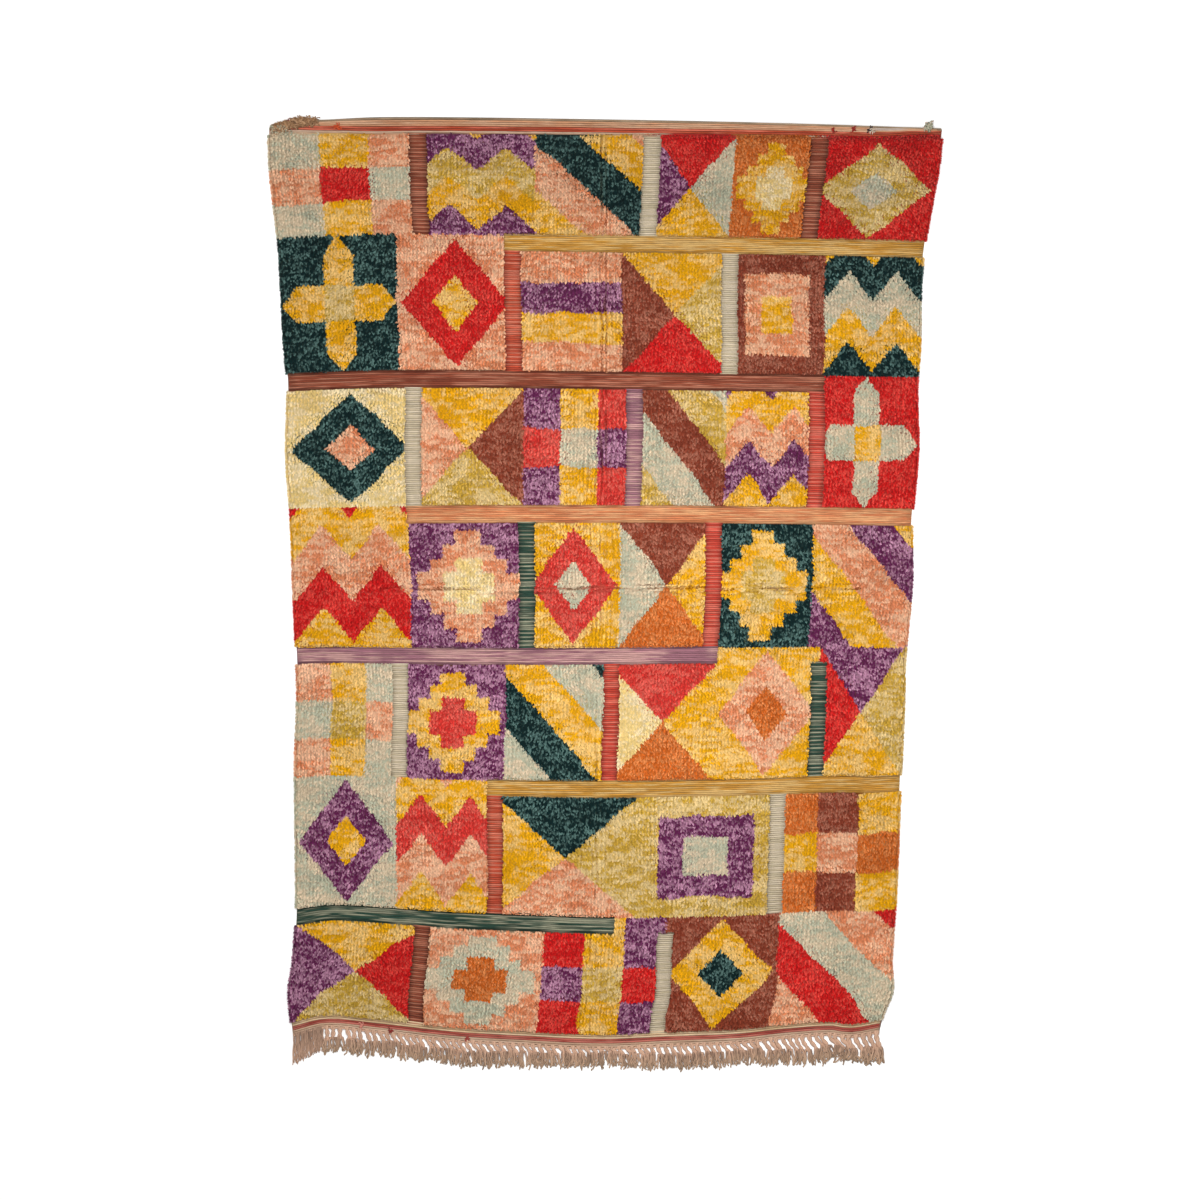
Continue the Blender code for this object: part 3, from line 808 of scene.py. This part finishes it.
def locks(foot, middle, tip, half, colours):
    """Points, triangles, map places and colours of closed locks of wool, each from its foot
    to its tip and half as wide on both sides of its middle as told."""
    count = len(foot)
    along = tip[:, :2] - foot[:, :2]
    along /= np.maximum(np.linalg.norm(along, axis=1), 1e-6)[:, None]
    aside = stacked(-along[:, 1], along[:, 0], 0) * half[:, None]
    points = np.stack([foot, middle - aside, middle + aside, tip], 1)
    faces = np.array([(0, 1, 3), (0, 3, 2), (1, 2, 3), (0, 2, 1)])
    triangles = (np.arange(count)[:, None, None] * 4 + faces).reshape(-1, 3)
    a, b, c = np.array([(0.05, 0.05), (0.88, 0.05), (0.05, 0.88)])
    ab, bc, ca = (a + b) / 2, (b + c) / 2, (c + a) / 2
    corners = np.array([(a, ab, ca), (ab, b, bc), (ca, bc, c), (ab, bc, ca)])
    corners = np.stack([corners, 1 - corners])
    number = np.arange(count)
    cells = math.ceil(math.sqrt(math.ceil(count / 2)))
    origin = stacked(number // 2 % cells, number // 2 // cells)
    uvs = (origin[:, None, None, :] + corners[number % 2]) / cells
    # painted shade: each lock is painted darker from its tip down to its foot
    shaded_tones = TIP_TONE - shading(colours) * (TIP_TONE - np.array([FOOT_SHADE, SIDE_SHADE, SIDE_SHADE, TIP_TONE]))
    tints = colours[:, None] * shaded_tones[:, :, None]
    return points.reshape(-1, 3), triangles, uvs.reshape(-1, 2), tints.reshape(-1, 3)


rng = np.random.default_rng(20)
knots_across = round(NOMINAL_WIDTH / KNOT_ACROSS)
knot_rows = round((WOVEN_LENGTH - FRINGED_BAND - PILE_SETBACK - CORNER_PILE_END) / KNOT_ALONG)
row_number, knot_number = np.mgrid[:knot_rows, :knots_across].reshape(2, -1)
knot_count = row_number.size
astride = 0.25 * (-1.0) ** row_number
knot_share = (knot_number + 0.5 + astride + 0.5 * (rng.random(knot_count) - 0.5)) / knots_across
knot_d = FRINGED_BAND + PILE_SETBACK + (row_number + 0.5 + 0.5 * (rng.random(knot_count) - 0.5)) * KNOT_ALONG
ragged = 0.004 * (rng.random(knot_count) - 0.5) / NOMINAL_WIDTH
in_corner = knot_share + 4 * ragged < CORNER_PILE - 0.4 * (knot_d - WOVEN_LENGTH + HEMMED_BAND)
knotted = (bar_map(knot_share + ragged, knot_d) < 0) & (knot_share > 0.001) & (knot_share < 0.999)
covered = np.interp(knot_share + 20 * ragged, (0.45, 0.75), (0, PILE_CREEP))
knotted &= in_corner | (knot_d < HEM_START + covered)
knot_share, knot_d = knot_share[knotted], knot_d[knotted]
x, y = place(knot_share, knot_d)
wobble_x = 0.004 * (soft_noise(x, y, 0.05, 0.03, 31) - 0.5) + 0.003 * (rng.random(x.size) - 0.5)
wobble_y = 0.012 * (soft_noise(x, y, 0.06, 0.04, 32) - 0.5) + 0.004 * (rng.random(x.size) - 0.5)
row_edges = np.array(row_starts())
in_row = np.clip(np.searchsorted(row_edges, knot_d, "right") - 1, 0, len(ROWS) - 1)
pattern_d = np.clip(knot_d + wobble_y, row_edges[in_row] + 0.0001, row_edges[in_row + 1] - 0.0001)
knot_yarn = pile_map(knot_share + wobble_x / NOMINAL_WIDTH, pattern_d)
knot_colours = dyed(knot_yarn, x, y, 40, *DYE_PATCH)
furrow = dip(knot_share - FOLD_AT, FOLD_HALF / NOMINAL_WIDTH) * smooth_at(FOLD_STRENGTH, knot_d, 1)
furrow = np.maximum(furrow, 0.25 * dip(knot_share - FOLD_AT, 4 * FOLD_HALF / NOMINAL_WIDTH))
furrow_phase = 2 * math.pi * (x + 0.012 * soft_noise(x, y, 0.03, 0.06, 36)) / RIDGE
crease = dip(knot_d - CREASE_AT, CREASE_HALF) * (knot_share > CREASE_FROM) * (knot_share < CREASE_TO)
crease = crease * np.minimum(1.5 * soft_noise(x, y, 0.14, 0.012, 35), 1)
crease_phase = 2 * math.pi * (y + 0.013 * soft_noise(x, y, 0.07, 0.03, 34)) / RIDGE
tip_z = pile_height(knot_share, knot_d) + 0.0022 * (rng.random(x.size) - 0.5)
broken = np.clip(2.4 * soft_noise(x, y, 0.014, 0.05, 37) - 0.3, 0, 1.3)
trough = furrow * (0.5 - 0.5 * np.cos(furrow_phase)) ** 1.5 * broken
broken = np.clip(2.4 * soft_noise(x, y, 0.05, 0.014, 38) - 0.3, 0, 1.3)
trough += crease * (0.5 - 0.5 * np.cos(crease_phase)) ** 1.5 * broken
tip_z -= TROUGH_DEPTH * trough
# painted shade: knots in the troughs of the furrow and the crease are painted darker
knot_colours = knot_colours * (1 - np.minimum(trough, 1)[:, None] * TROUGH_SHADE)
# painted light and shade: every other column of knots is painted lighter, the ones between darker
rib_phase = math.pi * (knot_share * knots_across - 0.5 + 1.6 * soft_noise(x, y, 0.03, 0.12, 41))
ribbed = np.clip(2 * soft_noise(x, y, 0.09, 0.09, 42) - 0.4, 0.5, 1)
knot_colours = knot_colours * (1 + RIB_LIGHT_AND_SHADE * ribbed * np.cos(rib_phase))[:, None]
x = x - RIDGE_PULL * furrow * np.sin(furrow_phase)
y = y - RIDGE_PULL * crease * np.sin(crease_phase)
heading = 1.25 * (rng.random(x.size) - 0.5) + 1.1 * (soft_noise(x, y, 0.07, 0.05, 33) - 0.5)
swept = np.copysign(1.15, soft_noise(x, y, 0.06, 0.05, 39) - 0.5) * np.minimum(crease, 1)
heading = heading * (1 - 0.7 * furrow) + swept
heading -= 0.5 * math.pi
reach = LEAN * (0.75 + 0.5 * rng.random(x.size))
overhangs = bar_map(knot_share, knot_d - 0.8 * reach) >= 0
reach = np.where(overhangs, 0.4 * reach, reach)
step = stacked(np.cos(heading), np.sin(heading)) * reach[:, None]
here = stacked(x, y)
foot_z = np.interp(np.minimum(knot_d - FRINGED_BAND, HEM_START - knot_d), (0, 0.012), (0.006, LOCK_FOOT))
foot = np.concatenate([here - 0.25 * step, foot_z[:, None]], 1)
middle = np.concatenate([here + 0.30 * step, 0.5 * (tip_z + foot_z)[:, None]], 1)
tip = np.concatenate([here + step, tip_z[:, None]], 1)
half = LOCK_HALF * (0.85 + 0.3 * rng.random(x.size))

rims = {0: [], STRIPS - 1: []}
for side, edge, strip in ((-1, 0.0, 0), (1, 1.0, STRIPS - 1)):
    rim_d = np.arange(FRINGED_BAND + RIM_SETBACK, HEM_START - RIM_SETBACK, RIM_STEP)
    rim_share = np.full_like(rim_d, edge)
    rim_x, rim_y = place(rim_share, rim_d)
    rim_colours = dyed(pile_map(rim_share, rim_d), rim_x, rim_y, 47, *DYE_PATCH)
    knotted = bar_map(rim_share, rim_d) < 0
    for low, high, out in RIM_LAYERS:
        spread = 0.7 + 0.6 * rng.random(rim_d.size)
        lift = 0.002 * (rng.random(rim_d.size) - 0.5)
        slip = 0.004 * (rng.random(rim_d.size) - 0.8)
        rim_foot = stacked(rim_x - side * 0.004, rim_y, 0.0045)
        rim_middle = stacked(rim_x + side * out * 0.35 * spread, rim_y + slip * 0.5, low + lift)
        rim_tip = stacked(rim_x + side * out * spread, rim_y + slip, high + lift)
        rim_half = np.full_like(rim_d, LOCK_HALF)
        rims[strip].append([part[knotted] for part in (rim_foot, rim_middle, rim_tip, rim_half, rim_colours)])

pile_wool = yarn_material("pile_wool", 700, 1.0, 0.42, 0.4, 0.06, 0.85)
for strip in range(STRIPS):
    chosen = np.minimum((knot_share * STRIPS).astype(int), STRIPS - 1) == strip
    parts = [[part[chosen] for part in (foot, middle, tip, half, knot_colours)], *rims.get(strip, [])]
    pile_locks = locks(*(np.concatenate(column) for column in zip(*parts)))
    pile = array_piece(f"pile_strip_{strip + 1}", *pile_locks, pile_wool, "wool_pile", smooth=False)
    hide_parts("rug_cloth")


# The fringe: the warp ends, plied in pairs into tassels that lie on the floor. Their cut
# ends have come untwisted. A twined row holds their roots to the edge of the weave.
TASSEL_COUNT = 84
PLY_RADIUS = 0.0046
PLY_OFFSET = 0.0034
TWIST = 0.034
FLATNESS = 0.35
PLY_STATIONS = 22
PLY_SIDES = 6
ROOT_LAP = 0.004
LIE_ABOVE = 0.0004
TUFT_LENGTH = 0.038
TUFT_STRANDS = 11
TUFT_STATIONS = 8
TUFT_LAP = 0.006
STRAND_RADIUS = 0.0031
STRAND_SIDES = 4
STRAND_Z = 0.0030
SPLAY = 0.024
CURL = 0.0055
LOOSE_WARPS = 96
LOOSE_SHARE = 0.052
WARP_STATIONS = 12
WARP_RADIUS = 0.0022
THREAD_RADIUS = 0.0016
THREAD_SIDES = 5
TWINED_STATIONS = 420
TWINED_PITCH = 0.0105
TWINED_RADIUS = 0.0027
# the cells of the map that the plies take, and the bands of it for strands and loose warps
PLY_CELLS = (42, 9)
STRAND_BAND = (0.55, 0.28)
WARP_BAND = (0.84, 0.15)
UNDYED = (210, 170, 144)
CUT_END = (206, 172, 142)
TASSELS = (
    # share of the width, length, sweep to the right, bend
    (0.00, 0.096, 0.002, 0.000),
    (0.05, 0.078, 0.006, 0.003),
    (0.18, 0.074, 0.016, -0.005),
    (0.30, 0.076, 0.020, -0.006),
    (0.42, 0.064, 0.014, -0.003),
    (0.53, 0.058, 0.017, -0.005),
    (0.65, 0.070, 0.012, -0.004),
    (0.76, 0.066, 0.018, -0.006),
    (0.86, 0.084, 0.020, -0.009),
    (0.94, 0.078, 0.016, -0.011),
    (1.00, 0.088, 0.010, -0.004),
)


def curled(x, y, z, length, turning, stations, rng):
    """Paths of short loose ends that start at x, y and z and curl away over the cloth."""
    count = len(x)
    u = np.linspace(0, 1, stations)
    heading = 2 * math.pi * rng.random((count, 1)) + turning * (rng.random((count, 1)) - 0.5) * u
    step = length * (0.5 + 0.5 * rng.random((count, 1))) / (stations - 1)
    out_x, out_y = np.cumsum(step * np.cos(heading), axis=1), np.cumsum(step * np.sin(heading), axis=1)
    rise = 0.0022 * np.sin(math.pi * u) - 0.4 * z * u * rng.random((count, 1))
    return stacked(x[:, None] + out_x, y[:, None] + out_y, z + rise)


rng = np.random.default_rng(60)
tassel_share = LOOSE_SHARE + (1 - LOOSE_SHARE) * (np.arange(TASSEL_COUNT) + 0.5) / TASSEL_COUNT
tassel_share += 0.16 * (rng.random(TASSEL_COUNT) - 0.5) / TASSEL_COUNT
root_x, root_y = place(tassel_share, 0)
length = smooth_at(TASSELS, tassel_share, 1) - TUFT_LENGTH + 0.010 * (rng.random(TASSEL_COUNT) - 0.5)
sweep = 0.8 * smooth_at(TASSELS, tassel_share, 2) + 0.010 * (rng.random(TASSEL_COUNT) - 0.5)
bend = smooth_at(TASSELS, tassel_share, 3) + 0.004 * (rng.random(TASSEL_COUNT) - 0.5)
t = np.linspace(0, 1, PLY_STATIONS)
line_x = root_x[:, None] + sweep[:, None] * t**1.5 * (2.2 - 1.2 * t)
line_x = line_x + 0.55 * bend[:, None] * np.sin(1.5 * math.pi * t)
line_y = root_y[:, None] + ROOT_LAP - (length[:, None] + ROOT_LAP) * t
bulk = 1 + 0.25 * (tassel_share > 0.93)
lie = PLY_RADIUS * bulk[:, None] + FLATNESS * PLY_OFFSET + LIE_ABOVE
phase = rng.random(TASSEL_COUNT)[:, None] * 2 * math.pi + 2 * math.pi * (length[:, None] / TWIST) * t
undyed, cut_end = linear(UNDYED), linear(CUT_END)
fringe_parts = []
for ply in (0, 1):
    angle = phase + ply * math.pi
    paths = stacked(line_x + PLY_OFFSET * np.cos(angle), line_y, lie + FLATNESS * PLY_OFFSET * np.sin(angle))
    radii = PLY_RADIUS * (1 - 0.15 * t) * bulk[:, None]
    colours = undyed * (0.86 + 0.2 * rng.random(TASSEL_COUNT))[:, None, None]
    fringe_parts.append(spun(paths, radii, PLY_SIDES, (ply * TASSEL_COUNT, *PLY_CELLS), colours))

strand_tassel = np.repeat(np.arange(TASSEL_COUNT), TUFT_STRANDS)
strand_count = strand_tassel.size
u = np.linspace(0, 1, TUFT_STATIONS)
splay = SPLAY * (2 * rng.random(strand_count) - 1)[:, None]
looser = 1 + 0.8 * (tassel_share[strand_tassel] > 0.9)
curl = CURL * (0.3 + rng.random(strand_count))[:, None] * looser[:, None]
curls = 2 * math.pi * (0.5 + 1.3 * rng.random(strand_count))[:, None]
curl_start = 2 * math.pi * rng.random(strand_count)[:, None]
strand_length = TUFT_LENGTH * (0.7 + 0.5 * rng.random(strand_count))[:, None]
height = 0.0018 + 0.008 * rng.random(strand_count)[:, None]
start_x, start_y = line_x[strand_tassel, -1], line_y[strand_tassel, -1]
drift_x = (line_x[strand_tassel, -1] - line_x[strand_tassel, -4])[:, None]
angle = curls * u + curl_start
paths = stacked(
    start_x[:, None] + 0.4 * splay * (1 + u) + 1.2 * drift_x * u + curl * u * np.sin(angle),
    start_y[:, None] + TUFT_LAP - (strand_length + TUFT_LAP) * u + 0.8 * curl * u * np.cos(angle),
    STRAND_Z + height * (1 - 0.75 * u),
)
radii = STRAND_RADIUS * (1 - 0.3 * u) * bulk[strand_tassel][:, None]
tone = (0.53 + 0.50 * rng.random(strand_count))[:, None, None]
colours = (undyed * (1 - u[:, None]) + cut_end * u[:, None]) * tone
cells = (0, TASSEL_COUNT, TUFT_STRANDS)
fringe_parts.append(spun(paths, radii, STRAND_SIDES, cells, colours, STRAND_BAND))

w = np.linspace(0, 1, WARP_STATIONS)
warp_share = LOOSE_SHARE * (np.arange(LOOSE_WARPS) + rng.random(LOOSE_WARPS)) / LOOSE_WARPS
warp_x, warp_y = place(warp_share, 0)
warp_length = smooth_at(TASSELS, warp_share, 1) * (0.80 + 0.22 * rng.random(LOOSE_WARPS))
warp_bend = 0.0030 * rng.standard_normal((LOOSE_WARPS, 1))
warp_sway = 0.004 * rng.standard_normal((LOOSE_WARPS, 1))
paths = stacked(
    warp_x[:, None] + 0.0025 + warp_sway * w**2 + warp_bend * np.sin(7 * w),
    warp_y[:, None] + ROOT_LAP - (warp_length[:, None] + ROOT_LAP) * w,
    WARP_RADIUS + 0.0065 * rng.random((LOOSE_WARPS, 1)) * (1 - 0.6 * w),
)
radii = WARP_RADIUS * (1 - 0.3 * w)
colours = undyed * (0.50 + 0.36 * rng.random(LOOSE_WARPS))[:, None, None] * (0.8 + 0.4 * w[:, None])
fringe_parts.append(spun(paths, radii, THREAD_SIDES, (0, LOOSE_WARPS // 3, 3), colours, WARP_BAND))

twined_x, twined_y = place(np.linspace(0.001, 0.999, TWINED_STATIONS), 0)
for ply in (0, 1):
    angle = 2 * math.pi * twined_x / TWINED_PITCH + ply * math.pi
    paths = stacked(twined_x, twined_y - 0.0018 + 0.0016 * np.cos(angle), 0.0050 + 0.0012 * np.sin(angle))
    part = spun(paths[None], TWINED_RADIUS, PLY_SIDES, (0, 1, 1), undyed)
    part[2][:] = part[2][:, ::-1] * (1, 0.02) + (0, 0.462 + 0.03 * ply)
    fringe_parts.append(part)
fringe_yarn = yarn_material("fringe_yarn", 900, 1.6, 0.42, 0.5, 0.06, 0.85)
warp_fringe = array_piece("warp_fringe", *joined(fringe_parts), fringe_yarn, "fringe_yarn")
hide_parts("fringe")


# The corners of the hemmed end: the last warp ends, knotted into a lumpy roll at the left
# corner and into a small tuft at the right one, with their cut ends curling out of it.
KNOTTED = (
    # name, replaced node, from, to, bulge, yarns, half thickness, radius of a yarn, cut ends,
    # sRGB of its yarns
    (
        "corner_roll", "corner_tuft_left", (-1.049, 1.467), (-0.906, 1.4955), 0.0080, 8, 0.0100, 0.0042, 300,
        ((160, 122, 88), (128, 94, 66), (180, 142, 108), (146, 112, 80)),
    ),
    (
        "corner_knot", "corner_tuft_right", (1.014, 1.474), (1.030, 1.481), 0.0040, 5, 0.0052, 0.0032, 50,
        ((168, 168, 144), (190, 164, 146), (112, 120, 98), (186, 178, 156)),
    ),
)
ROLL_STATIONS = 26
ROLL_SIDES = 6
ROLL_TWIST = 0.045
ROLL_BAND = (0, 0.30)
CUT_END_LENGTH = 0.016
CUT_END_Z = 0.0125
CUT_END_TURNING = 6
CUT_END_STATIONS = 6
CUT_END_BAND = (0.33, 0.66)

corner_yarn = yarn_material("corner_yarn", 900, 1.0, 0.42, 0.5, 0.06, 0.85)
for name, node, start, end, bulge, yarn_count, fat, radius, end_count, yarns in KNOTTED:
    rng = np.random.default_rng(len(name) + yarn_count)
    shades = linear(yarns)
    t = np.linspace(0, 1, ROLL_STATIONS)
    middle_x = start[0] + (end[0] - start[0]) * t
    middle_y = start[1] + (end[1] - start[1]) * t + bulge * np.sin(math.pi * t) ** 2
    angle = 2 * math.pi * (np.arange(yarn_count)[:, None] / yarn_count + (end[0] - start[0]) / ROLL_TWIST * t)
    thick = fat * (1.20 - 0.35 * t - 0.6 * t**8) * (1 + 0.2 * np.sin(31 * t))
    angle = angle + 0.9 * np.sin(13 * t + 5 * rng.random((yarn_count, 1)))
    height = radius + LIE_ABOVE + 0.35 * thick * (1 + np.sin(angle))
    paths = stacked(middle_x, middle_y + 1.25 * thick * np.cos(angle), height)
    tone = 0.8 + 0.4 * rng.random((yarn_count, ROLL_STATIONS, 1))
    tints = shades[np.arange(yarn_count) % len(yarns)][:, None] * tone
    rolled = spun(paths, radius * (1 - 0.55 * t**6), ROLL_SIDES, (0, yarn_count, 1), tints, ROLL_BAND)
    at = 0.93 * rng.random(end_count)
    end_x = np.interp(at, t, middle_x) + 0.4 * fat * np.clip(rng.standard_normal(end_count), -1.5, 1.5)
    end_y = np.interp(at, t, middle_y) + 0.6 * fat * np.clip(rng.standard_normal(end_count), -1.5, 1.5)
    paths = curled(end_x, end_y, CUT_END_Z, CUT_END_LENGTH, CUT_END_TURNING, CUT_END_STATIONS, rng)
    which = rng.integers(0, len(yarns), end_count)
    tints = shades[which][:, None] * (0.8 + 0.4 * rng.random((end_count, CUT_END_STATIONS, 1)))
    across = math.ceil(math.sqrt(end_count))
    cut_ends = spun(paths, THREAD_RADIUS, THREAD_SIDES, (0, across, across), tints, CUT_END_BAND)
    corner = array_piece(name, *joined([rolled, cut_ends]), corner_yarn, "corner_yarn")
    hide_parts(node)


# Thread knots, where the ends of the stripes' wefts were tied: small snarls of dyed yarn.
THREAD_KNOTS = (
    # x, y, half its size, sRGB of the yarn
    (-1.002, 1.485, 0.009, (120, 48, 30)),
    (-0.850, 1.478, 0.008, (204, 84, 46)),
    (0.722, 1.464, 0.007, (150, 44, 34)),
    (0.783, 1.468, 0.007, (150, 44, 38)),
    (0.837, 1.470, 0.006, (52, 40, 44)),
    (0.843, 1.462, 0.006, (214, 196, 176)),
    (-0.772, -1.366, 0.007, (214, 140, 124)),
    (-0.680, -1.382, 0.006, (150, 56, 50)),
    (-0.438, -1.409, 0.006, (160, 70, 62)),
)
THREADS_A_KNOT = 10
SNARL_Z = 0.0095
SNARL_TURNING = 9
SNARL_STATIONS = 8

rng = np.random.default_rng(91)
snarl = np.repeat(np.array([row[:3] for row in THREAD_KNOTS]), THREADS_A_KNOT, axis=0)
snarl_x, snarl_y = (snarl[:, axis] + 0.4 * snarl[:, 2] * rng.standard_normal(len(snarl)) for axis in (0, 1))
paths = curled(snarl_x, snarl_y, SNARL_Z, 2.0 * snarl[:, 2:], SNARL_TURNING, SNARL_STATIONS, rng)
tints = linear([row[3] for row in THREAD_KNOTS for _ in range(THREADS_A_KNOT)])[:, None]
tints = tints * (0.75 + 0.5 * rng.random((len(snarl), SNARL_STATIONS, 1)))
snarls = spun(paths, THREAD_RADIUS, THREAD_SIDES, (0, THREADS_A_KNOT, len(THREAD_KNOTS)), tints)
thread_knots = array_piece("thread_knots", *snarls, weft_wool, "wool_pile")
